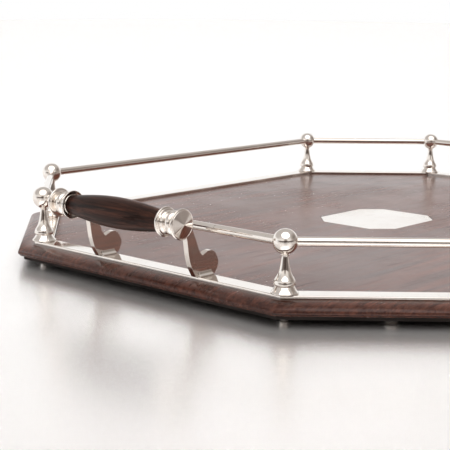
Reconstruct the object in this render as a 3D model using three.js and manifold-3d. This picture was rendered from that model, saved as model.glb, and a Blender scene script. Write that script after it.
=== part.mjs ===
// Eight-sided wooden gallery tray with plated mounts. Millimetres, +Z up, +X along the long axis
// (the handles are on the two X ends). The origin is the middle of the tray, on the surface that
// its twelve feet and nuts stand on.
import * as THREE from "three";
import { mergeVertices } from "three/addons/utils/BufferGeometryUtils.js";
import Module from "manifold-3d";

const wasm = await Module();
wasm.setup();

// ---- Driving sizes ----
const POST_SPAN_X = 490; // between the post lines of the two handle ends
const POST_SPAN_Y = 405; // between the post lines of the two long sides
const END_SIDE = 220; // post to post on a handle end
const LONG_SIDE = 326; // post to post on a long side
const CLEARANCE = 0.3; // between touching pieces

const BOARD_MARGIN = 18; // from the post line out to the board's edge
const BOARD_THICKNESS = 8;
const NOSE_HEIGHT = 5; // the board's rounded edge, from its widest line up to the top
const NOSE_UNDERCUT = 3.6; // how far the edge turns in again below that line
const BACKING_THICKNESS = 2;
const BACKING_SETBACK = 4; // the backing's edge, in from the board's
const BAND_WIDTH = 13;
const BAND_THICKNESS = 2.4;
const BAND_REBATE = 0.7; // depth that the band lies in the board
const FOOT_HEIGHT = 4.5; // from the ground to the backing

const CARTOUCHE_X = 80;
const CARTOUCHE_Y = 72;
const CARTOUCHE_CUT = 14.5; // corner cut, along each side
const CARTOUCHE_THICKNESS = 1.2;

const POST_FLARE_RADIUS = 8.3;
const POST_HEIGHT = 22.8; // from the band to the ball's seat
const POST_TOP_RADIUS = 2.1;
const STUD_RADIUS = 1.6;
const PIN_RADIUS = 1.3; // the pin that holds the ball
const PIN_LENGTH = 3.5;
const BALL_RADIUS = 7.5;
const BALL_SEAT_DEPTH = 0.6; // how far the ball comes down over the post's top
const RAIL_RADIUS = 2.75;
const RAIL_SOCKET = 2.2; // depth that a rail goes into a ball

const NUT_RADIUS = 4.75;
const NUT_FLANGE = 1.2;
const NUT_BOSS_RADIUS = 2.7;
const FOOT_RADIUS = 4.9;
const FOOT_FLAT_RADIUS = 2.4;
const FOOT_SCREW_LENGTH = 6;
const THREAD_LENGTH = 3; // depth of thread that a nut gives its stud

const GRIP_LENGTH = 83.4;
const GRIP_RADIUS = 9.8;
const GRIP_END_RADIUS = 6.3;
const GRIP_OUTBOARD = 29.5; // the grip's axis, out from the post line
const GRIP_ABOVE_BALLS = 6.7; // the grip's axis, above the balls' centres
const ROD_RADIUS = 1.8;
const ROD_INTO_CAP = 7;

const COLLAR_RADIUS = 9.1;
const COLLAR_LENGTH = 1.6;
const NECK_RADIUS = 5.4;
const COLLAR_LAP = 1; // how far the bracket's plate reaches into its collar
const BRACKET_THICKNESS = 3.8;
const BRACKET_EYE_RADIUS = 6.4;
const BRACKET_FOOT_THICKNESS = 3.2;
const BRACKET_FOOT_WIDTH = 8;
const BRACKET_BACK = 15.4; // out from the post line to the back of the arm
const BRACKET_LOBE = 12; // in from the post line to the tip of the lobe
const CAP_BEAD_RADIUS = 7.6;
const CAP_BEAD_LENGTH = 6.8;
const CAP_NECK_RADIUS = 5.2;
const CAP_NECK_LENGTH = 1.4;
const CAP_DISC_RADIUS = 9.4;
const CAP_DISC_LENGTH = 1.6;
const CAP_CONE_LENGTH = 1.8;

// ---- Levels, from the ground up ----
const BOARD_BOTTOM = FOOT_HEIGHT + BACKING_THICKNESS + CLEARANCE;
const BOARD_TOP = BOARD_BOTTOM + BOARD_THICKNESS;
const BAND_BOTTOM = BOARD_TOP - BAND_REBATE + CLEARANCE;
const BAND_TOP = BAND_BOTTOM + BAND_THICKNESS;
const POST_BOTTOM = BAND_TOP + CLEARANCE;
const POST_TOP = POST_BOTTOM + POST_HEIGHT;
const BALL_LEVEL = POST_TOP + CLEARANCE + BALL_RADIUS - BALL_SEAT_DEPTH;
const GRIP_LEVEL = BALL_LEVEL + GRIP_ABOVE_BALLS;
const STUD_BOTTOM = FOOT_HEIGHT - CLEARANCE - THREAD_LENGTH;
const PIN_TOP = POST_TOP + PIN_LENGTH;
const FOOT_SCREW_TOP = FOOT_HEIGHT + FOOT_SCREW_LENGTH;

const ROUND = 12; // sides of a turned piece
const FINE_ROUND = 10; // sides of a thin one

// ---- Materials ----
const paint = (color, roughness, metalness) =>
  new THREE.MeshStandardMaterial({ color, roughness, metalness });
const stainedWood = paint(0x6b3322, 0.35, 0);
const ebonisedWood = paint(0x33201c, 0.4, 0);
const backingFelt = paint(0x2b2a2c, 0.95, 0);
const silverPlate = paint(0xe6dcd0, 0.15, 1);
const steel = paint(0x9a9a9c, 0.4, 1);

// ---- Solids ----
// A closed three.js geometry as a manifold solid.
function solidOf(geometry) {
  const bare = geometry.clone();
  bare.deleteAttribute("normal");
  bare.deleteAttribute("uv");
  const merged = mergeVertices(bare, 1e-4);
  return new wasm.Manifold(
    new wasm.Mesh({
      numProp: 3,
      vertProperties: new Float32Array(merged.attributes.position.array),
      triVerts: new Uint32Array(merged.index.array),
    }),
  );
}

// A manifold solid as a three.js geometry with flat faces.
function geometryOf(solid) {
  const { vertProperties, triVerts } = solid.getMesh();
  const geometry = new THREE.BufferGeometry();
  geometry.setAttribute("position", new THREE.BufferAttribute(vertProperties, 3));
  geometry.setIndex(new THREE.BufferAttribute(triVerts, 1));
  const faceted = geometry.toNonIndexed();
  faceted.computeVertexNormals();
  return faceted;
}

const tray = new THREE.Group();

function addPiece(name, shape, material) {
  const geometry = shape.isBufferGeometry ? shape : geometryOf(shape);
  const mesh = new THREE.Mesh(geometry, material);
  mesh.name = name;
  tray.add(mesh);
  return mesh;
}

// A turned solid about +Z, from [radius, height] points that start and end on the axis.
function turned(profile, sides = ROUND) {
  return new THREE.LatheGeometry(
    profile.map(([r, z]) => new THREE.Vector2(r, z)),
    sides,
  ).rotateX(Math.PI / 2);
}

// A plain cylinder about +Z between two heights.
function rodBetween(radius, low, high, sides = FINE_ROUND) {
  return turned([[0, low], [radius, low], [radius, high], [0, high]], sides);
}

function shapeOf(points) {
  return new THREE.Shape(points.map(([x, y]) => new THREE.Vector2(x, y)));
}

function plate(points, low, thickness) {
  return new THREE.ExtrudeGeometry(shapeOf(points), {
    depth: thickness,
    bevelEnabled: false,
  }).translate(0, 0, low);
}

// ---- The eight-sided plan ----
// Post places, anticlockwise from the front end of the +X side.
const posts = [
  [POST_SPAN_X / 2, -END_SIDE / 2],
  [POST_SPAN_X / 2, END_SIDE / 2],
  [LONG_SIDE / 2, POST_SPAN_Y / 2],
  [-LONG_SIDE / 2, POST_SPAN_Y / 2],
  [-POST_SPAN_X / 2, END_SIDE / 2],
  [-POST_SPAN_X / 2, -END_SIDE / 2],
  [-LONG_SIDE / 2, -POST_SPAN_Y / 2],
  [LONG_SIDE / 2, -POST_SPAN_Y / 2],
];
const sideCount = posts.length;
const next = (i) => (i + 1) % sideCount;
const previous = (i) => (i + sideCount - 1) % sideCount;
const headingTo = (i, j) => Math.atan2(posts[j][1] - posts[i][1], posts[j][0] - posts[i][0]);

// Length and unit direction of the side that starts at post i.
function sideOf(i) {
  const [ax, ay] = posts[i];
  const [bx, by] = posts[next(i)];
  const length = Math.hypot(bx - ax, by - ay);
  return { length, along: [(bx - ax) / length, (by - ay) / length] };
}

// Outward normal of that side.
function sideNormal(i) {
  const [x, y] = sideOf(i).along;
  return [y, -x];
}

// The corner at post i of the outline that lies `out` beyond the post line.
function cornerAt(i, out) {
  const [px, py] = posts[i];
  const [nx, ny] = sideNormal(previous(i));
  const [mx, my] = sideNormal(i);
  const reach = out / (1 + nx * mx + ny * my);
  return [px + (nx + mx) * reach, py + (ny + my) * reach];
}

const outline = (out) => posts.map((_, i) => cornerAt(i, out));

const cartoucheOutline = (grow) => {
  const x = CARTOUCHE_X / 2 + grow;
  const y = CARTOUCHE_Y / 2 + grow;
  const cut = CARTOUCHE_CUT + grow * (2 - Math.SQRT2);
  return [
    [x, cut - y], [x, y - cut], [x - cut, y], [cut - x, y],
    [-x, y - cut], [-x, cut - y], [cut - x, -y], [x - cut, -y],
  ];
};

// Middle of each of the four slanted sides, where the turned feet are.
const footPlaces = [1, 3, 5, 7].map((i) => {
  const [ax, ay] = posts[i];
  const [bx, by] = posts[next(i)];
  return [(ax + bx) / 2, (ay + by) / 2];
});

const holeTo = (high, [x, y]) =>
  solidOf(rodBetween(STUD_RADIUS + CLEARANCE, 0, high).translate(x, y, 0));
const studHole = (place) => holeTo(POST_BOTTOM, place);
const screwHole = (place) => holeTo(FOOT_SCREW_TOP + CLEARANCE, place);

// ---- Board, backing and cartouche ----
// A solid with the tray's plan, through rings of [out from the post line, height], bottom first.
function planLoft(rings) {
  const corners = rings.flatMap(([out, z]) => outline(out).map(([x, y]) => [x, y, z]));
  const faces = [];
  for (let ring = 0; ring < rings.length - 1; ring++) {
    for (let i = 0; i < sideCount; i++) {
      const a = ring * sideCount + i;
      const b = ring * sideCount + next(i);
      faces.push([a, b, b + sideCount], [a, b + sideCount, a + sideCount]);
    }
  }
  const top = (rings.length - 1) * sideCount;
  for (let i = 1; i < sideCount - 1; i++) {
    faces.push([0, i + 1, i], [top, top + i, top + i + 1]);
  }
  const geometry = new THREE.BufferGeometry();
  geometry.setAttribute("position", new THREE.Float32BufferAttribute(corners.flat(), 3));
  return geometry.setIndex(faces.flat());
}

// The board's edge: a quarter ellipse up to the band and a tighter one down to the underside.
function edgeRings() {
  const widest = BOARD_TOP - NOSE_HEIGHT;
  const over = BOARD_MARGIN - BAND_WIDTH / 2 - CLEARANCE;
  const ring = (degrees, reach, rise) => {
    const turn = (degrees * Math.PI) / 180;
    return [BOARD_MARGIN - reach * (1 - Math.cos(turn)), widest + rise * Math.sin(turn)];
  };
  return [
    ...[-90, -60, -30].map((degrees) => ring(degrees, NOSE_UNDERCUT, widest - BOARD_BOTTOM)),
    ...[0, 15, 30, 45, 60, 75, 90].map((degrees) => ring(degrees, over, NOSE_HEIGHT)),
  ];
}

function makeBoard() {
  const slab = planLoft(edgeRings());
  const rebateShape = shapeOf(outline(BAND_WIDTH / 2 + CLEARANCE));
  rebateShape.holes.push(shapeOf(outline(-BAND_WIDTH / 2 - CLEARANCE)));
  const rebate = new THREE.ExtrudeGeometry(rebateShape, {
    depth: POST_BOTTOM - BOARD_TOP + BAND_REBATE,
    bevelEnabled: false,
  }).translate(0, 0, BOARD_TOP - BAND_REBATE);
  const recessFloor = BOARD_TOP - CARTOUCHE_THICKNESS - CLEARANCE;
  const recess = plate(cartoucheOutline(CLEARANCE), recessFloor, POST_BOTTOM - recessFloor);
  const cuts = [
    solidOf(rebate),
    solidOf(recess),
    ...posts.map(studHole),
    ...footPlaces.map(screwHole),
  ];
  return cuts.reduce((board, cut) => board.subtract(cut), solidOf(slab));
}

function makeBacking() {
  const sheet = plate(outline(BOARD_MARGIN - BACKING_SETBACK), FOOT_HEIGHT, BACKING_THICKNESS);
  const holes = [...posts, ...footPlaces].map(studHole);
  return holes.reduce((backing, hole) => backing.subtract(hole), solidOf(sheet));
}

addPiece("tray_board", makeBoard(), stainedWood);
addPiece("underside_backing", makeBacking(), backingFelt);
addPiece(
  "cartouche",
  plate(cartoucheOutline(0), BOARD_TOP - CARTOUCHE_THICKNESS, CARTOUCHE_THICKNESS),
  silverPlate,
);

// ---- Band: one mitred strip along each side, bored for the posts' studs ----
function makeBandStrip(i) {
  const half = BAND_WIDTH / 2;
  const [alongX, alongY] = sideOf(i).along;
  const shifted = ([x, y], shift) => [x + alongX * shift, y + alongY * shift];
  const corners = [
    shifted(cornerAt(i, -half), CLEARANCE / 2),
    shifted(cornerAt(i, half), CLEARANCE / 2),
    shifted(cornerAt(next(i), half), -CLEARANCE / 2),
    shifted(cornerAt(next(i), -half), -CLEARANCE / 2),
  ];
  const strip = solidOf(plate(corners, BAND_BOTTOM, BAND_THICKNESS));
  return strip.subtract(studHole(posts[i])).subtract(studHole(posts[next(i)]));
}

// ---- Post: a turned baluster with a stud down to its nut and a pin up into its ball ----
const makePost = () =>
  turned([
    [0, STUD_BOTTOM],
    [STUD_RADIUS, STUD_BOTTOM],
    [STUD_RADIUS, POST_BOTTOM],
    [POST_FLARE_RADIUS, POST_BOTTOM],
    [POST_FLARE_RADIUS, POST_BOTTOM + 0.5],
    [POST_FLARE_RADIUS - 1.9, POST_BOTTOM + 3.2],
    [POST_FLARE_RADIUS - 2.5, POST_BOTTOM + 4.4],
    [POST_FLARE_RADIUS - 1.7, POST_BOTTOM + 5.8],
    [POST_FLARE_RADIUS - 2.1, POST_BOTTOM + 7.8],
    [POST_FLARE_RADIUS - 3.5, POST_BOTTOM + 10.2],
    [POST_TOP_RADIUS + 1.5, POST_BOTTOM + 13],
    [POST_TOP_RADIUS + 0.8, POST_BOTTOM + 16.8],
    [POST_TOP_RADIUS + 0.3, POST_BOTTOM + 20],
    [POST_TOP_RADIUS, POST_TOP - 1.8],
    [POST_TOP_RADIUS + 0.4, POST_TOP - 0.9],
    [POST_TOP_RADIUS, POST_TOP],
    [PIN_RADIUS, POST_TOP],
    [PIN_RADIUS, PIN_TOP],
    [0, PIN_TOP],
  ]);

// ---- Ball: bored for its post's pin and socketed for the two rails that meet in it ----
const socketFloor = BALL_RADIUS - RAIL_SOCKET;

function makeBall(i) {
  const sphere = new THREE.SphereGeometry(BALL_RADIUS, ROUND, 10).rotateX(Math.PI / 2);
  const below = -2 * BALL_RADIUS;
  const pinHole = rodBetween(PIN_RADIUS + CLEARANCE, below, PIN_TOP - BALL_LEVEL + CLEARANCE);
  const seat = rodBetween(POST_TOP_RADIUS + CLEARANCE, below, POST_TOP - BALL_LEVEL + CLEARANCE);
  let ball = solidOf(sphere).subtract(solidOf(pinHole)).subtract(solidOf(seat));
  for (const neighbour of [next(i), previous(i)]) {
    const way = headingTo(i, neighbour);
    const socket = rodBetween(RAIL_RADIUS + CLEARANCE, socketFloor - CLEARANCE, 2 * BALL_RADIUS)
      .rotateY(Math.PI / 2)
      .rotateZ(way);
    ball = ball.subtract(solidOf(socket));
  }
  return geometryOf(ball);
}

// ---- Rail: a straight rod from ball to ball ----
const makeRail = (i) =>
  rodBetween(RAIL_RADIUS, socketFloor, sideOf(i).length - socketFloor).rotateY(Math.PI / 2);

// ---- Nut under each post, and turned foot under each slanted side ----
function makeNut() {
  const nut = turned([
    [0, 0],
    [NUT_BOSS_RADIUS, 0],
    [NUT_BOSS_RADIUS + 0.5, FOOT_HEIGHT - NUT_FLANGE - CLEARANCE],
    [NUT_RADIUS, FOOT_HEIGHT - NUT_FLANGE - CLEARANCE],
    [NUT_RADIUS, FOOT_HEIGHT - CLEARANCE],
    [0, FOOT_HEIGHT - CLEARANCE],
  ]);
  const thread = rodBetween(STUD_RADIUS + CLEARANCE, STUD_BOTTOM - CLEARANCE, FOOT_HEIGHT);
  return solidOf(nut).subtract(solidOf(thread));
}

const makeFoot = () =>
  turned([
    [0, 0],
    [FOOT_FLAT_RADIUS, 0],
    [(FOOT_FLAT_RADIUS + FOOT_RADIUS) / 2 + 0.5, FOOT_HEIGHT * 0.2],
    [FOOT_RADIUS, FOOT_HEIGHT * 0.6],
    [FOOT_RADIUS, FOOT_HEIGHT - CLEARANCE],
    [STUD_RADIUS, FOOT_HEIGHT - CLEARANCE],
    [STUD_RADIUS, FOOT_SCREW_TOP],
    [0, FOOT_SCREW_TOP],
  ]);

posts.forEach(([x, y], i) => {
  const number = i + 1;
  addPiece(`band_strip_${number}`, makeBandStrip(i), silverPlate);
  addPiece(`post_${number}`, makePost(), silverPlate).position.set(x, y, 0);
  addPiece(`post_nut_${number}`, makeNut(), silverPlate).position.set(x, y, 0);
  addPiece(`ball_${number}`, makeBall(i), silverPlate).position.set(x, y, BALL_LEVEL);
  const rail = addPiece(`rail_${number}`, makeRail(i), silverPlate);
  rail.position.set(x, y, BALL_LEVEL);
  rail.rotation.z = headingTo(i, next(i));
});
footPlaces.forEach(([x, y], i) => {
  addPiece(`foot_${i + 1}`, makeFoot(), silverPlate).position.set(x, y, 0);
});

// ---- Handles: grip, two cast brackets, two end caps and a tie rod through them ----
// Along the grip's axis, from its middle outwards.
const collarStart = GRIP_LENGTH / 2 + CLEARANCE;
const plateStart = collarStart + COLLAR_LENGTH - COLLAR_LAP;
const capStart = plateStart + BRACKET_THICKNESS + CLEARANCE;
const rodEnd = capStart + ROD_INTO_CAP;

// A barrel turned about +Z with a round bore.
function makeGrip() {
  const steps = 8;
  const profile = [[0, -GRIP_LENGTH / 2]];
  for (let i = 0; i <= steps; i++) {
    const t = (2 * i) / steps - 1;
    const radius = GRIP_END_RADIUS + (GRIP_RADIUS - GRIP_END_RADIUS) * Math.cos((t * Math.PI) / 2);
    profile.push([radius, (t * GRIP_LENGTH) / 2]);
  }
  profile.push([0, GRIP_LENGTH / 2]);
  const bore = rodBetween(ROD_RADIUS + CLEARANCE, -GRIP_LENGTH, GRIP_LENGTH);
  return solidOf(turned(profile)).subtract(solidOf(bore));
}

// An end cap: a bead, a short neck and a disc with a shallow cone, with a blind bore for the rod.
function makeCap() {
  const beadEnd = capStart + CAP_BEAD_LENGTH;
  const discStart = beadEnd + CAP_NECK_LENGTH;
  const discEnd = discStart + CAP_DISC_LENGTH;
  const cap = turned([
    [0, capStart],
    [CAP_BEAD_RADIUS - 2, capStart],
    [CAP_BEAD_RADIUS - 0.5, capStart + CAP_BEAD_LENGTH * 0.2],
    [CAP_BEAD_RADIUS, capStart + CAP_BEAD_LENGTH / 2],
    [CAP_BEAD_RADIUS - 0.5, capStart + CAP_BEAD_LENGTH * 0.8],
    [CAP_NECK_RADIUS, beadEnd],
    [CAP_NECK_RADIUS, discStart - 0.4],
    [CAP_DISC_RADIUS, discStart],
    [CAP_DISC_RADIUS, discEnd],
    [0, discEnd + CAP_CONE_LENGTH],
  ]);
  const bore = rodBetween(ROD_RADIUS + CLEARANCE, 0, rodEnd + CLEARANCE);
  return solidOf(cap).subtract(solidOf(bore));
}

// The bracket's side view: [out from the post line, up from the band], up as a share of the grip's
// height. The arm leans out and sweeps up to the eye; a lobe curls inwards from its root.
function bracketOutline() {
  const top = GRIP_LEVEL - POST_BOTTOM;
  const at = ([out, share]) => new THREE.Vector2(out, share * top);
  const eye = BRACKET_EYE_RADIUS;
  const back = BRACKET_BACK;
  const lobe = BRACKET_LOBE;
  const shape = new THREE.Shape();
  shape.moveTo(-BAND_WIDTH / 2 - 2, 0);
  shape.lineTo(BAND_WIDTH / 2 + 1.3, 0);
  shape.splineThru([[back - 3.9, 0.17], [back - 1.7, 0.35], [back - 0.6, 0.53], [back, 0.64]].map(at));
  shape.quadraticCurveTo(back + 1, top * 0.82, GRIP_OUTBOARD - eye * 0.8, top - eye * 0.6);
  shape.absarc(GRIP_OUTBOARD, top, eye, -Math.PI * 0.795, Math.PI * 0.7, false);
  shape.quadraticCurveTo(back - 2, top * 1.08, back - 5.3, top * 0.77);
  shape.splineThru([[back - 7.8, 0.62], [back - 10.8, 0.43], [back - 13.4, 0.35]].map(at));
  shape.splineThru([[-lobe * 0.27, 0.41], [-lobe * 0.7, 0.38], [-lobe, 0.21], [-lobe * 0.9, 0.08]].map(at));
  shape.closePath();
  return shape;
}

// A bracket about the grip's axis: X outboard, Y up, Z along the grip.
function makeBracket() {
  const side = new THREE.ExtrudeGeometry(bracketOutline(), {
    depth: BRACKET_THICKNESS,
    bevelEnabled: false,
    curveSegments: 3,
  }).translate(-GRIP_OUTBOARD, -(GRIP_LEVEL - POST_BOTTOM), plateStart);
  const foot = new THREE.BoxGeometry(BAND_WIDTH, BRACKET_FOOT_THICKNESS, BRACKET_FOOT_WIDTH).translate(
    -GRIP_OUTBOARD,
    -(GRIP_LEVEL - POST_BOTTOM) + BRACKET_FOOT_THICKNESS / 2,
    plateStart + BRACKET_THICKNESS / 2,
  );
  const collar = turned([
    [0, collarStart],
    [COLLAR_RADIUS, collarStart],
    [COLLAR_RADIUS, collarStart + COLLAR_LENGTH * 0.6],
    [NECK_RADIUS, collarStart + COLLAR_LENGTH],
    [NECK_RADIUS, plateStart + BRACKET_THICKNESS / 2],
    [0, plateStart + BRACKET_THICKNESS / 2],
  ]);
  const bore = rodBetween(ROD_RADIUS + CLEARANCE, 0, rodEnd);
  return solidOf(side).add(solidOf(foot)).add(solidOf(collar)).subtract(solidOf(bore));
}

// Brings a piece made about the grip's axis into the tray's frame: Z, along the grip, becomes -Y.
const laidDown = (shape) => geometryOf(shape).rotateX(Math.PI / 2);

for (const [end, outward] of [["a", -1], ["b", 1]]) {
  const axis = new THREE.Vector3(outward * (POST_SPAN_X / 2 + GRIP_OUTBOARD), 0, GRIP_LEVEL);
  addPiece(`grip_${end}`, laidDown(makeGrip()), ebonisedWood).position.copy(axis);
  const tieRod = laidDown(solidOf(rodBetween(ROD_RADIUS, -rodEnd, rodEnd)));
  addPiece(`tie_rod_${end}`, tieRod, steel).position.copy(axis);
  for (const [number, along] of [[1, -1], [2, 1]]) {
    for (const [name, solid] of [["bracket", makeBracket()], ["end_cap", makeCap()]]) {
      const piece = addPiece(`${name}_${end}_${number}`, laidDown(solid), silverPlate);
      piece.position.copy(axis);
      piece.scale.set(outward, -along, 1);
    }
  }
}

export default tray;
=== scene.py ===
"""Looks of the eight-sided gallery tray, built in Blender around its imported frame."""

import math

import bmesh
import bpy
from mathutils import Matrix, Vector


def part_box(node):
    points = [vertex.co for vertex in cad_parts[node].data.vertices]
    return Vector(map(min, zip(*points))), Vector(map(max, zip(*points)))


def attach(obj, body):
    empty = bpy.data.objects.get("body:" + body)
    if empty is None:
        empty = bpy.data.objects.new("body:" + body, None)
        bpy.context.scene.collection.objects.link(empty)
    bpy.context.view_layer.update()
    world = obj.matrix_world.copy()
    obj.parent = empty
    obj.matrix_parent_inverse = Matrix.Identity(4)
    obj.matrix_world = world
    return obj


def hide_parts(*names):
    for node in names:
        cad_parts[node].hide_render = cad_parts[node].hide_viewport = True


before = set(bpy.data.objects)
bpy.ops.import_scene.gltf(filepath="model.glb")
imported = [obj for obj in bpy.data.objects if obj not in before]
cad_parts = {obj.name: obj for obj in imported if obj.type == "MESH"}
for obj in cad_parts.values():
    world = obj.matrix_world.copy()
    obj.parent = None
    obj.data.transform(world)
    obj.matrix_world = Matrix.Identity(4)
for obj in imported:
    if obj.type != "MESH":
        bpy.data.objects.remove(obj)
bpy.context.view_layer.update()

MM = 0.001
SIDES = 8
FINE = 56  # facets round a turned piece
FINEST = 64  # and round the large turned pieces of the handles
PLAIN = 40  # and round rails, nuts and feet
SHARP = math.radians(38)  # edges sharper than this stay crisp


# ---- Sizes read from the frame ----
def low(node):
    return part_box(node)[0]


def high(node):
    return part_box(node)[1]


def centre(node):
    return (low(node) + high(node)) / 2


def span(node):
    return high(node) - low(node)


POSTS = [centre(f"post_{i + 1}").xy for i in range(SIDES)]
BOARD_TOP = high("tray_board").z
BOARD_BOTTOM = low("tray_board").z
BOARD_MARGIN = high("tray_board").x - POSTS[0].x
BAND_WIDTH = span("band_strip_3").y
BAND_TOP = high("band_strip_1").z
BAND_BOTTOM = low("band_strip_1").z
BALL_LEVEL = centre("ball_1").z
BALL_RADIUS = span("ball_1").x / 2
RAIL_RADIUS = span("rail_1").x / 2
GAP = low("tray_board").z - high("underside_backing").z


# ---- Sizes that the frame doesn't give ----
NOSE_HEIGHT = 5 * MM  # the board's edge, from its widest line up to the top
NOSE_UNDERCUT = 3.6 * MM  # how far the edge turns in again below that line
GROOVE_DEPTH = 0.35 * MM  # the fine groove low on the edge
CARTOUCHE_CUT = 14.5 * MM
CARTOUCHE_BEVEL = 0.25 * MM
BAND_SOFTENING = 0.55 * MM  # radius of the strips' top edges

POST_INTO_BALL = 0.7 * MM
RAIL_END = 0.8  # a rail's end inside its ball, as a share of the ball's radius

GRIP_END_RADIUS = 6.1 * MM
GRIP_FULLNESS = 0.92  # below 1, the grip swells more quickly from its ends
BRACKET_BEVEL = 0.45 * MM

# In millimetres.
BRACKET_EYE, BRACKET_BACK, BRACKET_LOBE = 6.4, 15.4, 12.0
BRACKET_THICKNESS = 3.8
BRACKET_PAD_HALF = 4.0  # half the length of a bracket's foot along the band
COLLAR_RIM = 9.1
POST_NECK = 2.1  # a post's radius under the ball

# Relief depths, in metres.
FIBRE_RELIEF = 0.000009
PORE_RELIEF = 0.0000015
WAVE_RELIEF = 0.00003
RUBBING_RELIEF = 0.000004
DRAW_RELIEF = 0.00001
WEAVE_RELIEF = 0.00008


# ---- The eight-sided plan ----
def side_normal(i):
    along = (POSTS[(i + 1) % SIDES] - POSTS[i]).normalized()
    return Vector((along.y, -along.x))


def corner_at(i, out):
    """The corner at post i of the outline that lies `out` beyond the post line."""
    before, after = side_normal(i - 1), side_normal(i)
    return POSTS[i] + (before + after) * (out / (1 + before.dot(after)))


def plan_ring(out, z):
    return [(*corner_at(i, out), z) for i in range(SIDES)]


# ---- Curves in a plane ----
def smooth_line(points, steps=5):
    """A Catmull-Rom curve through the points."""
    ends = [points[0], *points, points[-1]]
    line = [Vector(points[0])]
    for a, b, c, d in zip(ends, ends[1:], ends[2:], ends[3:]):
        a, b, c, d = map(Vector, (a, b, c, d))
        for k in range(1, steps + 1):
            t = k / steps
            line.append(
                0.5 * (2 * b + (c - a) * t + (2 * a - 5 * b + 4 * c - d) * t**2
                       + (3 * b - a - 3 * c + d) * t**3)
            )
    return line


def bow(start, pull, end, steps=6):
    """A quadratic curve from start to end, drawn towards pull."""
    start, pull, end = map(Vector, (start, pull, end))
    at = [k / steps for k in range(steps + 1)]
    return [(1 - t) ** 2 * start + 2 * t * (1 - t) * pull + t**2 * end for t in at]


def arc(middle, radius, start, end, steps=16):
    """Points on a circle, between two angles in degrees."""
    turns = [math.radians(start + (end - start) * k / steps) for k in range(steps + 1)]
    return [Vector(middle) + radius * Vector((math.cos(t), math.sin(t))) for t in turns]


# ---- Mesh work ----
def add_rings(bm, rings):
    """Joins rings of as many points each into a closed solid; a ring of one point is a tip."""
    made = [[bm.verts.new(p) for p in ring] for ring in rings]
    for a, b in zip(made, made[1:]):
        count = max(len(a), len(b))
        for k in range(count):
            n = (k + 1) % count
            corners = [a[k % len(a)], a[n % len(a)], b[n % len(b)], b[k % len(b)]]
            bm.faces.new(list(dict.fromkeys(corners)))
    for end in (made[0], made[-1]):
        if len(end) > 2:
            bm.faces.new(end)


def add_turned(bm, profile, place=Matrix(), facets=FINE):
    """A turned shape about the Z of `place`, from (radius, height) points in metres."""
    rings = []
    for radius, z in profile:
        if radius < 1e-7:
            rings.append([place @ Vector((0, 0, z))])
            continue
        turns = [math.tau * k / facets for k in range(facets)]
        rings.append([
            place @ Vector((radius * math.cos(t), radius * math.sin(t), z)) for t in turns
        ])
    add_rings(bm, rings)


def add_slab(bm, outline, start, end, place=Matrix()):
    """A plate with a flat outline, between two heights along the Z of `place`."""
    add_rings(bm, [[place @ Vector((*p, z)) for p in outline] for z in (start, end)])


def finish_piece(name, bm, material, slot, *nodes, bevel=0.0):
    bmesh.ops.recalc_face_normals(bm, faces=bm.faces)
    for face in bm.faces:
        face.smooth = True
    for edge in bm.edges:
        edge.smooth = edge.is_manifold and edge.calc_face_angle(0) < SHARP
    mesh = bpy.data.meshes.new(name)
    bm.to_mesh(mesh)
    bm.free()
    mesh.materials.append(material)
    obj = bpy.data.objects.new(name, mesh)
    bpy.context.scene.collection.objects.link(obj)
    if bevel:
        rounding = obj.modifiers.new("rounded edges", "BEVEL")
        rounding.width = bevel
        rounding.segments = 3
        rounding.limit_method = "ANGLE"
        rounding.angle_limit = SHARP
        rounding.harden_normals = True
    else:
        flats = obj.modifiers.new("true flat faces", "WEIGHTED_NORMAL")
        flats.keep_sharp = True
        flats.weight = 100
    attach(obj, "root")
    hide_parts(*nodes)
    return obj


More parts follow.
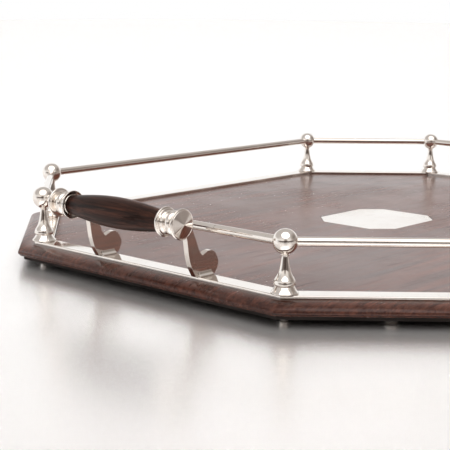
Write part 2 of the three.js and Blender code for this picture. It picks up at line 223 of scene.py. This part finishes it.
# ---- Materials ----
class Look:
    """One Principled material, with textures in the tray's own space."""

    def __init__(self, name, **sockets):
        self.material = bpy.data.materials.new(name)
        self.material.use_nodes = True
        self.tree = self.material.node_tree
        self.shader = self.tree.nodes["Principled BSDF"]
        for socket, value in sockets.items():
            self.shader.inputs[socket.replace("_", " ")].default_value = value
        self.place = self.tree.nodes.new("ShaderNodeTexCoord").outputs["Object"]

    def put(self, value, socket):
        if hasattr(value, "is_output"):
            self.tree.links.new(value, socket)
        else:
            socket.default_value = value

    def noise(self, stretch, detail=4.0, roughness=0.55, distortion=0.0, turn=(0, 0, 0)):
        """Noise with `stretch` features per metre along X, Y and Z."""
        mapping = self.tree.nodes.new("ShaderNodeMapping")
        mapping.inputs["Scale"].default_value = stretch
        mapping.inputs["Rotation"].default_value = turn
        self.tree.links.new(self.place, mapping.inputs["Vector"])
        noise = self.tree.nodes.new("ShaderNodeTexNoise")
        noise.inputs["Scale"].default_value = 1.0
        noise.inputs["Detail"].default_value = detail
        noise.inputs["Roughness"].default_value = roughness
        noise.inputs["Distortion"].default_value = distortion
        self.tree.links.new(mapping.outputs["Vector"], noise.inputs["Vector"])
        return noise.outputs["Fac"]

    def ramp(self, value, *stops):
        """A colour ramp with (position, colour) stops."""
        node = self.tree.nodes.new("ShaderNodeValToRGB")
        elements = node.color_ramp.elements
        while len(elements) < len(stops):
            elements.new(0.5)
        for element, (position, colour) in zip(elements, stops):
            element.position = position
            element.color = (*colour, 1)
        self.put(value, node.inputs["Fac"])
        return node.outputs["Color"]

    def span(self, value, low_in, high_in, low_out, high_out):
        node = self.tree.nodes.new("ShaderNodeMapRange")
        inputs = (value, low_in, high_in, low_out, high_out)
        names = ("Value", "From Min", "From Max", "To Min", "To Max")
        for socket, given in zip(names, inputs):
            self.put(given, node.inputs[socket])
        return node.outputs["Result"]

    def blend(self, share, a, b):
        node = self.tree.nodes.new("ShaderNodeMix")
        node.data_type = "RGBA"
        self.put(share, node.inputs["Factor"])
        for socket, given in ((node.inputs[6], a), (node.inputs[7], b)):
            self.put(given if hasattr(given, "is_output") else (*given, 1), socket)
        return node.outputs[2]

    def math(self, operation, a, b=0.0):
        node = self.tree.nodes.new("ShaderNodeMath")
        node.operation = operation
        self.put(a, node.inputs[0])
        self.put(b, node.inputs[1])
        return node.outputs[0]

    def bump(self, height, depth, under=None):
        """Relief of `depth` metres."""
        node = self.tree.nodes.new("ShaderNodeBump")
        node.inputs["Distance"].default_value = depth
        self.tree.links.new(height, node.inputs["Height"])
        if under is not None:
            self.tree.links.new(under, node.inputs["Normal"])
        return node.outputs["Normal"]

    def set(self, **given):
        for socket, value in given.items():
            self.put(value, self.shader.inputs[socket.replace("_", " ")])
        return self.material


def grain_look(name, grain_axis, dark, middle, light, gloss, shine, scuff):
    """Stained and polished wood, with its grain along X (0) or Y (1)."""
    look = Look(name)

    def along(slow, fast):
        return tuple(slow if axis == grain_axis else fast for axis in range(3))

    figure = look.noise(along(2.6, 22), detail=4, distortion=0.4)
    streak = look.noise(along(9, 240), detail=4, roughness=0.6)
    fibre = look.noise(along(16, 900), detail=3, roughness=0.65)
    pores = look.noise(along(22, 430), detail=3, roughness=0.6)
    mixed = look.math("ADD", look.math("MULTIPLY", figure, 0.2),
                      look.math("MULTIPLY", streak, 0.45))
    mixed = look.math("ADD", mixed, look.math("MULTIPLY", fibre, 0.35))
    colour = look.ramp(mixed, (0.4, dark), (0.5, middle), (0.6, light))
    pore_depth = look.span(pores, 0.57, 0.68, 0.0, 1.0)
    colour = look.blend(look.math("MULTIPLY", pore_depth, 0.7), colour, dark)
    scuffs = look.noise(along(60, 420), detail=3, turn=(0, 0, 0.15))
    colour = look.blend(look.span(scuffs, 0.64, 0.8, 0.0, 0.25), colour, scuff)
    wear = look.noise((9, 9, 9), detail=6, roughness=0.6)
    rough = look.math("ADD", look.span(wear, 0.35, 0.7, gloss[0], gloss[1]),
                      look.math("MULTIPLY", streak, 0.1))
    relief = look.bump(fibre, FIBRE_RELIEF)
    relief = look.bump(look.math("SUBTRACT", 1.0, pore_depth), PORE_RELIEF, relief)
    sheen = look.span(pore_depth, 0.0, 1.0, shine, shine * 0.45)
    return look.set(Base_Color=colour, Roughness=rough, Normal=relief, Specular_IOR_Level=sheen)


def silver_look(name):
    """Old silver plate: bright, with soft tarnish, rubbing marks and a faint waviness."""
    look = Look(name, Metallic=1.0)
    tarnish = look.noise((22, 22, 22), detail=7, roughness=0.62)
    speck = look.noise((420, 420, 420), detail=3)
    colour = look.ramp(tarnish, (0.38, (0.94, 0.895, 0.85)), (0.62, (0.88, 0.82, 0.765)),
                       (0.74, (0.7, 0.61, 0.52)))
    colour = look.blend(look.span(speck, 0.66, 0.75, 0.0, 0.5), colour, (0.42, 0.34, 0.28))
    rub_a = look.noise((90, 2600, 2600), detail=2, turn=(0.2, 0.1, 0.7))
    rub_b = look.noise((2600, 90, 2600), detail=2, turn=(0.4, 0.2, 0.3))
    rubbing = look.math("MAXIMUM", rub_a, rub_b)
    rough = look.math("ADD", look.span(tarnish, 0.4, 0.75, 0.035, 0.12),
                      look.span(rubbing, 0.58, 0.75, 0.0, 0.1))
    waves = look.noise((85, 85, 85), detail=1)
    relief = look.bump(waves, WAVE_RELIEF)
    relief = look.bump(rubbing, RUBBING_RELIEF, relief)
    return look.set(Base_Color=colour, Roughness=rough, Normal=relief)


def steel_look(name):
    """Plain drawn steel: draw lines along Y, a few dull stains."""
    look = Look(name, Metallic=1.0)
    stain = look.noise((60, 60, 60), detail=5)
    lines = look.noise((2400, 40, 2400), detail=2)
    colour = look.ramp(stain, (0.4, (0.5, 0.495, 0.49)), (0.72, (0.3, 0.255, 0.22)))
    rough = look.math("ADD", look.span(stain, 0.35, 0.7, 0.26, 0.5),
                      look.math("MULTIPLY", lines, 0.12))
    return look.set(Base_Color=colour, Roughness=rough, Normal=look.bump(lines, DRAW_RELIEF))


def shaded_backing_look(name):
    """Dull dark cloth, its colour made darker still as painted shade under the board's edge: a fine
    weave with paler patches.
    """
    look = Look(name, Specular_IOR_Level=0.25)
    weave = look.noise((900, 900, 900), detail=3)
    patch = look.noise((30, 30, 30), detail=4)
    # Near-black colours: partly the cloth's own dark tone, partly painted shade under the board's
    # edge.
    colour = look.ramp(patch, (0.35, (0.014, 0.01, 0.009)), (0.7, (0.04, 0.031, 0.028)))
    return look.set(Base_Color=colour, Roughness=look.span(weave, 0.3, 0.7, 0.7, 0.95),
                    Normal=look.bump(weave, WEAVE_RELIEF))


BOARD_WOOD = grain_look(
    "stained board", 0,
    (0.036, 0.0108, 0.0068), (0.076, 0.0235, 0.014), (0.126, 0.041, 0.0245),
    gloss=(0.14, 0.26), shine=0.4, scuff=(0.16, 0.065, 0.04),
)
GRIP_WOOD = grain_look(
    "ebonised grip", 1,
    (0.011, 0.004, 0.0025), (0.034, 0.0125, 0.008), (0.085, 0.031, 0.019),
    gloss=(0.2, 0.32), shine=0.16, scuff=(0.14, 0.08, 0.055),
)
SILVER = silver_look("old silver plate")
BACKING_IN_PAINTED_SHADE = shaded_backing_look("underside backing")
ROD_STEEL = steel_look("rod steel")
for rod in ("tie_rod_a", "tie_rod_b"):
    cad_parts[rod].material_slots[0].material = ROD_STEEL


# ---- Board, backing and cartouche ----
def cartouche_outline(grow):
    x, y = span("cartouche").x / 2 + grow, span("cartouche").y / 2 + grow
    cut = CARTOUCHE_CUT + grow * (2 - math.sqrt(2))
    return [(x, cut - y), (x, y - cut), (x - cut, y), (cut - x, y),
            (-x, y - cut), (-x, cut - y), (cut - x, -y), (x - cut, -y)]


def make_board():
    """One board: moulded edge, the band's rebate, and the recess for the cartouche."""
    rebate = BAND_WIDTH / 2 + GAP
    over = BOARD_MARGIN - rebate
    widest = BOARD_TOP - NOSE_HEIGHT
    edge = []
    # Steps of 10 degrees below the widest line and of 5 degrees above it.
    for k in range(-9, 19):
        turn = math.radians(k * (10 if k < 0 else 5))
        inset = (over if k > 0 else NOSE_UNDERCUT) * (1 - math.cos(turn))
        rise = (BOARD_TOP - widest if k > 0 else widest - BOARD_BOTTOM) * math.sin(turn)
        groove = GROOVE_DEPTH if k in (-4, -3) else 0
        edge.append((BOARD_MARGIN - inset - groove, widest + rise))
    rings = [plan_ring(out, z) for out, z in edge]
    floor = BAND_BOTTOM - GAP
    rings += [plan_ring(rebate, floor),
              plan_ring(-rebate, floor), plan_ring(-rebate, BOARD_TOP)]
    for z in (BOARD_TOP, low("cartouche").z - GAP):
        rings.append([(*p, z) for p in cartouche_outline(GAP)])
    bm = bmesh.new()
    add_rings(bm, rings)
    finish_piece("board", bm, BOARD_WOOD, "stained_wood", "tray_board")


def make_backing():
    """The backing sheet, with its lower edge softened."""
    edge = high("underside_backing").x - POSTS[0].x
    bottom, top = low("underside_backing").z, high("underside_backing").z
    profile = [(-0.5, bottom), (-0.1, bottom + 0.3 * MM), (0, bottom + 0.8 * MM), (0, top)]
    bm = bmesh.new()
    add_rings(bm, [plan_ring(edge + out * MM, z) for out, z in profile])
    finish_piece("backing", bm, BACKING_IN_PAINTED_SHADE, "backing", "underside_backing")


def make_cartouche():
    bottom, top = low("cartouche").z, high("cartouche").z
    bm = bmesh.new()
    add_slab(bm, cartouche_outline(0), bottom, top)
    finish_piece("name_plate", bm, SILVER, "silver_plate", "cartouche",
                 bevel=CARTOUCHE_BEVEL)


# ---- Gallery ----
def make_band_strip(i):
    """A flat strip with softened top edges, mitred at its two posts."""
    half = BAND_WIDTH / 2
    top, soft = BAND_TOP, BAND_SOFTENING
    across = [(-half, BAND_BOTTOM), (-half, top - soft)]
    across += [(-half + soft * (1 - math.cos(a)), top - soft * (1 - math.sin(a)))
               for a in (math.pi / 6, math.pi / 3, math.pi / 2)]
    across += [(-out, z) for out, z in reversed(across)]
    along = (POSTS[(i + 1) % SIDES] - POSTS[i]).normalized() * (GAP / 6)
    start = [(*(corner_at(i, out) + along), z) for out, z in across]
    end = [(*(corner_at((i + 1) % SIDES, out) - along), z) for out, z in across]
    bm = bmesh.new()
    add_rings(bm, [start, end])
    finish_piece(f"strip_{i + 1}", bm, SILVER, "silver_plate", f"band_strip_{i + 1}")


def make_post(i):
    """A baluster: flared foot, ring, long taper and a small collar under the ball."""
    node = f"post_{i + 1}"
    base = BAND_TOP + GAP / 3
    top = BALL_LEVEL - BALL_RADIUS + POST_INTO_BALL
    flare = span(node).x / 2 / MM
    neck = POST_NECK
    height = (top - base) / MM
    outline = [(0, 0), (flare - 0.1, 0), (flare, 0.2), (flare, 0.5)]
    outline += [tuple(p) for p in smooth_line([
        (flare - 0.15, 0.8), (flare - 0.8, 1.5), (flare - 1.6, 2.6), (flare - 2.3, 3.8),
        (flare - 2.6, 4.3)])]
    outline += [tuple(p) for p in smooth_line([
        (flare - 2.55, 4.5), (flare - 2.0, 4.9), (flare - 1.7, 5.8), (flare - 2.1, 7.8),
        (flare - 3.5, 10.2),
        (neck + 1.6, 13), (neck + 0.8, 16.8), (neck + 0.3, 20), (neck, height - 1.7)])]
    outline += [tuple(p) for p in smooth_line([
        (neck + 0.05, height - 1.6), (neck + 0.4, height - 1.15), (neck + 0.4, height - 0.75),
        (neck + 0.05, height - 0.4)])]
    outline += [(neck, height), (0, height)]
    bm = bmesh.new()
    add_turned(bm, [(r * MM, z * MM) for r, z in outline], Matrix.Translation((*POSTS[i], base)))
    finish_piece(f"baluster_{i + 1}", bm, SILVER, "silver_plate", node)


def make_ball(i):
    turns = [math.pi * k / (FINE // 2) for k in range(FINE // 2 + 1)]
    profile = [(BALL_RADIUS * math.sin(t), -BALL_RADIUS * math.cos(t)) for t in turns]
    bm = bmesh.new()
    add_turned(bm, profile, Matrix.Translation((*POSTS[i], BALL_LEVEL)))
    finish_piece(f"gallery_ball_{i + 1}", bm, SILVER, "silver_plate", f"ball_{i + 1}")


def make_rail(i):
    start, end = POSTS[i], POSTS[(i + 1) % SIDES]
    length = (end - start).length
    inside = BALL_RADIUS * RAIL_END
    aim = (end - start).to_3d().to_track_quat("Z", "Y").to_matrix().to_4x4()
    place = Matrix.Translation((*start, BALL_LEVEL)) @ aim
    bm = bmesh.new()
    profile = [(0, inside), (RAIL_RADIUS, inside), (RAIL_RADIUS, length - inside),
               (0, length - inside)]
    add_turned(bm, profile, place, PLAIN)
    finish_piece(f"gallery_rail_{i + 1}", bm, SILVER, "silver_plate", f"rail_{i + 1}")


def make_nut(i):
    node = f"post_nut_{i + 1}"
    top, wide = high(node).z / MM, span(node).x / 2 / MM
    outline = [(0, 0), (2.3, 0), (2.7, 0.35), (2.95, 1.4), (3.1, top - 1.3),
               (wide - 0.3, top - 1.2), (wide, top - 0.9), (wide, top + 0.2), (0, top + 0.2)]
    bm = bmesh.new()
    place = Matrix.Translation((*POSTS[i], 0))
    add_turned(bm, [(r * MM, z * MM) for r, z in outline], place, PLAIN)
    finish_piece(f"nut_{i + 1}", bm, SILVER, "silver_plate", node)


def make_foot(i):
    node = f"foot_{i + 1}"
    wide, top = span(node).x / 2 / MM, low("underside_backing").z / MM
    outline = [(0, 0), (2.4, 0)]
    outline += [tuple(p) for p in smooth_line([
        (2.4, 0), (3.7, 0.5), (4.6, 1.5), (wide, 2.8), (wide, top - 0.2)])]
    outline += [(0, top - 0.2)]
    bm = bmesh.new()
    place = Matrix.Translation((*centre(node).xy, 0))
    add_turned(bm, [(r * MM, z * MM) for r, z in outline], place, PLAIN)
    finish_piece(f"turned_foot_{i + 1}", bm, SILVER, "silver_plate", node)


# ---- Handles ----
def handle_place(end, along):
    """The frame of a handle end: X outboard, Y up, Z along the grip away from its middle."""
    middle = centre(f"grip_{end}")
    outward = math.copysign(1, middle.x)
    axes = Matrix(((outward, 0, 0), (0, 0, along), (0, 1, 0))).to_4x4()
    return Matrix.Translation(middle) @ axes


def make_grip(end):
    node = f"grip_{end}"
    length, widest = span(node).y, span(node).x / 2
    narrow = GRIP_END_RADIUS
    steps = 36
    outline = [(0, -length / 2)]
    for k in range(steps + 1):
        t = 2 * k / steps - 1
        swell = math.cos(t * math.pi / 2) ** GRIP_FULLNESS
        outline.append((narrow + (widest - narrow) * swell, t * length / 2))
    outline.append((0, length / 2))
    bm = bmesh.new()
    add_turned(bm, outline, handle_place(end, 1), FINEST)
    finish_piece(f"handle_grip_{end}", bm, GRIP_WOOD, "ebonised_wood", node)


def bracket_outline(top, outboard):
    """Side view of a bracket: (out from the post line, up from the band), in millimetres."""
    eye, back, lobe = BRACKET_EYE, BRACKET_BACK, BRACKET_LOBE
    half_band = BAND_WIDTH / 2 / MM

    def at(out, share):
        return out, share * top

    line = [Vector((-half_band - 2, 0)), Vector((half_band + 1.3, 0))]
    line += smooth_line([(half_band + 1.3, 0), at(back - 3.9, 0.17), at(back - 1.7, 0.35),
                         at(back - 0.6, 0.53), at(back, 0.64)])[1:]
    under = Vector((outboard - eye * 0.8, top - eye * 0.6))
    line += bow(line[-1], (back + 1, top * 0.82), under)[1:-1]
    line += arc((outboard, top), eye, -143, 126, 20)
    line += bow(line[-1], (back - 2, top * 1.08), at(back - 5.3, 0.77))[1:]
    line += smooth_line([at(back - 5.3, 0.77), at(back - 7.8, 0.62), at(back - 10.8, 0.43),
                         at(back - 13.4, 0.35)])[1:]
    line += smooth_line([at(back - 13.4, 0.35), at(-lobe * 0.27, 0.41), at(-lobe * 0.7, 0.38),
                         at(-lobe, 0.21), at(-lobe * 0.9, 0.08), (-half_band - 2, 0)])[1:-1]
    return line


def make_bracket(end, number):
    """One casting: the flat arm with its lobe, the foot on the band, and the grip's cup."""
    node = f"bracket_{end}_{number}"
    along = -1 if number == 1 else 1
    place = handle_place(end, along)
    grip_half = span(f"grip_{end}").y / 2 / MM
    outboard = (abs(centre(f"grip_{end}").x) - POSTS[0].x) / MM
    base = (BAND_TOP + GAP / 3) / MM
    top = centre(f"grip_{end}").z / MM - base
    plate_end = low(f"end_cap_{end}_2").y / MM - 0.3
    plate_start = plate_end - BRACKET_THICKNESS
    bm = bmesh.new()
    outline = [((p.x - outboard) * MM, (p.y - top) * MM) for p in bracket_outline(top, outboard)]
    add_slab(bm, outline, plate_start * MM, plate_end * MM, place)
    half_x, half_y = BAND_WIDTH / 2 / MM - 0.3, BRACKET_PAD_HALF
    middle = (plate_start + plate_end) / 2
    pad = []
    # How far up each ring lies, and how far in from the foot's edge across and along the band.
    steps = ((0, 0, 0), (0.7, 0, 0), (1.1, 0.3, 0.7), (1.8, 0.5, 1.4), (3.1, 0.7, 1.9))
    for up, in_x, in_y in steps:
        pad.append([
            place @ Vector((((x * (half_x - in_x)) - outboard) * MM, (up - top) * MM,
                            (middle + y * (half_y - in_y)) * MM))
            for x, y in ((-1, -1), (1, -1), (1, 1), (-1, 1))
        ])
    add_rings(bm, pad)
    rim = COLLAR_RIM
    cup = [(0, 1.0), (6.0, 1.0), (7.4, 0.75), (8.3, 0.25), (rim - 0.2, -0.05), (rim, 0.1),
           (rim, 0.75), (rim - 0.3, 1.05), (8.0, 1.3), (7.9, 1.5), (8.25, 1.65),
           (8.4, 2.0), (8.25, 2.35), (7.7, 2.5),
           (7.2, 2.7), (7.0, 3.4), (6.6, 4.1), (0, 4.1)]
    cup = [(r * MM, (grip_half + GAP / MM + s) * MM) for r, s in cup]
    add_turned(bm, cup, place)
    finish_piece(f"handle_bracket_{end}_{number}", bm, SILVER, "silver_plate", node,
                 bevel=BRACKET_BEVEL)


def make_end_cap(end, number):
    """A turned cap: bead, neck, and a disc with a shallow cone."""
    node = f"end_cap_{end}_{number}"
    along = -1 if number == 1 else 1
    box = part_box(node)
    start = min(abs(box[0].y), abs(box[1].y)) / MM - 0.3
    finish = max(abs(box[0].y), abs(box[1].y)) / MM
    disc = span(node).x / 2 / MM
    cone = finish - 1.8
    bead = start + 3.4
    outline = [(0, start), (6.2, start), (6.3, start + 0.5), (5.9, start + 0.9)]
    outline += [tuple(p) for p in smooth_line([
        (6.1, start + 1.1), (7.0, bead - 1.6), (7.55, bead), (7.1, bead + 1.7), (6.0, bead + 2.7)])]
    outline += [(5.4, bead + 2.9), (5.2, cone - 2.3), (5.4, cone - 2.0)]
    outline += [tuple(p) for p in smooth_line([
        (6.4, cone - 1.8), (8.5, cone - 1.6), (disc - 0.2, cone - 1.3), (disc, cone - 0.9),
        (disc - 0.1, cone - 0.45), (disc - 0.45, cone - 0.15)])]
    outline += [(disc - 0.75, cone - 0.05), (disc - 0.85, cone - 0.2), (disc - 1.1, cone - 0.2)]
    outline += [(disc - 1.25, cone), (disc * 0.5, cone + 0.75), (1.6, finish - 0.4),
                (0.6, finish - 0.06), (0, finish)]
    bm = bmesh.new()
    place = handle_place(end, along)
    add_turned(bm, [(r * MM, z * MM) for r, z in outline], place, FINEST)
    finish_piece(f"handle_cap_{end}_{number}", bm, SILVER, "silver_plate", node)


make_board()
make_backing()
make_cartouche()
for side in range(SIDES):
    make_band_strip(side)
    make_post(side)
    make_ball(side)
    make_rail(side)
    make_nut(side)
for foot in range(4):
    make_foot(foot)
for handle in "ab":
    make_grip(handle)
    for which in (1, 2):
        make_bracket(handle, which)
        make_end_cap(handle, which)


# ---- Floor, light and camera ----
FLOOR_REACH = 12.0


def make_floor():
    """A wide pale floor with a soft sheen."""
    bm = bmesh.new()
    corners = [(-1, -1), (1, -1), (1, 1), (-1, 1)]
    bm.faces.new([bm.verts.new((x * FLOOR_REACH, y * FLOOR_REACH, 0)) for x, y in corners])
    mesh = bpy.data.meshes.new("floor")
    bm.to_mesh(mesh)
    bm.free()
    floor = bpy.data.objects.new("floor", mesh)
    bpy.context.scene.collection.objects.link(floor)
    look = Look("pale floor", Base_Color=(0.97, 0.96, 0.955, 1), Metallic=0.72, Roughness=0.27)
    mesh.materials.append(look.material)


def make_world(back_way):
    """A white room: a low dark wall round the camera, grey on its right, a dark figure at it."""
    world = bpy.data.worlds.new("room")
    bpy.context.scene.world = world
    world.use_nodes = True
    nodes, links = world.node_tree.nodes, world.node_tree.links
    way = nodes.new("ShaderNodeTexCoord").outputs["Generated"]

    def wall(direction, *stops):
        """A tint round a direction; each stop has the cosine of the angle from it, and a colour."""
        facing = nodes.new("ShaderNodeVectorMath")
        facing.operation = "DOT_PRODUCT"
        facing.inputs[1].default_value = Vector(direction).normalized()
        links.new(way, facing.inputs[0])
        shift = nodes.new("ShaderNodeMapRange")
        shift.inputs["From Min"].default_value = -1
        links.new(facing.outputs["Value"], shift.inputs["Value"])
        ramp = nodes.new("ShaderNodeValToRGB")
        elements = ramp.color_ramp.elements
        while len(elements) < len(stops):
            elements.new(0.5)
        for element, (cosine, colour) in zip(elements, stops):
            element.position = (cosine + 1) / 2
            element.color = (*colour, 1)
        links.new(shift.outputs["Result"], ramp.inputs["Fac"])
        return ramp.outputs["Color"]

    def combine(mode, factor, first, second):
        mix = nodes.new("ShaderNodeMix")
        mix.data_type = "RGBA"
        mix.blend_type = mode
        if factor is None:
            mix.inputs["Factor"].default_value = 1
        else:
            links.new(factor, mix.inputs["Factor"])
        links.new(first, mix.inputs[6])
        links.new(second, mix.inputs[7])
        return mix.outputs[2]

    white, black = (1, 1, 1), (0, 0, 0)
    height = wall((0, 0, 1), (-0.02, (0.95, 0.93, 0.9)), (0.01, (0.13, 0.105, 0.095)),
                  (0.19, (0.18, 0.15, 0.135)), (0.23, (0.95, 0.915, 0.88)),
                  (0.5, (0.78, 0.75, 0.72)), (0.85, (0.5, 0.47, 0.45)))
    near = wall((back_way.x, back_way.y, 0), (0.1, black), (0.6, white))
    dome = wall((0, 0, 1), (0.25, white), (0.42, (0.55, 0.52, 0.5)), (0.85, (0.55, 0.52, 0.5)))
    behind = combine("MIX", near, dome, height)
    person = wall(back_way, (0.93, white), (0.985, (0.3, 0.26, 0.24)))
    aside = wall((0.72, -0.68, 0.02), (0.6, white), (0.85, (0.5, 0.46, 0.43)),
                 (1, (0.3, 0.26, 0.24)))
    room = combine("MULTIPLY", None, combine("MULTIPLY", None, behind, aside), person)
    background = nodes["Background"]
    links.new(room, background.inputs["Color"])
    background.inputs["Strength"].default_value = 1.0


def add_sun(name, way, energy, spread, mirrored):
    """A wide, soft light shining along `way`; it may be left out of mirror reflections."""
    data = bpy.data.lights.new(name, "SUN")
    data.energy = energy
    data.angle = math.radians(spread)
    light = bpy.data.objects.new(name, data)
    light.rotation_euler = Vector(way).to_track_quat("-Z", "Y").to_euler()
    light.visible_glossy = mirrored
    bpy.context.scene.collection.objects.link(light)


CAMERA_AZIMUTH = math.radians(-47.24)
CAMERA_ELEVATION = math.radians(10.63)
CAMERA_ROLL = math.radians(0.36)
CAMERA_TARGET = Vector((-0.0473, 0.1199, 0))
CAMERA_DISTANCE = 0.9689
CAMERA_LENS = 92.9


def make_camera():
    level = math.cos(CAMERA_ELEVATION)
    back = Vector((math.sin(CAMERA_AZIMUTH) * level, -math.cos(CAMERA_AZIMUTH) * level,
                   math.sin(CAMERA_ELEVATION)))
    right = Vector((math.cos(CAMERA_AZIMUTH), math.sin(CAMERA_AZIMUTH), 0))
    up = back.cross(right)
    data = bpy.data.cameras.new("camera")
    data.lens = CAMERA_LENS
    data.clip_end = 60
    camera = bpy.data.objects.new("camera", data)
    axes = Matrix((right, up, back)).transposed().to_4x4()
    roll = Matrix.Rotation(CAMERA_ROLL, 4, "Z")
    camera.matrix_world = Matrix.Translation(CAMERA_TARGET + back * CAMERA_DISTANCE) @ axes @ roll
    bpy.context.scene.collection.objects.link(camera)
    bpy.context.scene.camera = camera
    return back


towards_camera = make_camera()
make_floor()
make_world(towards_camera)
add_sun("overhead light", (0.3, 0.28, -1), 1.15, 66, True)
add_sun("low back light", (-0.68, -0.63, -0.34), 8, 24, False)
bpy.context.scene.view_settings.view_transform = "Standard"
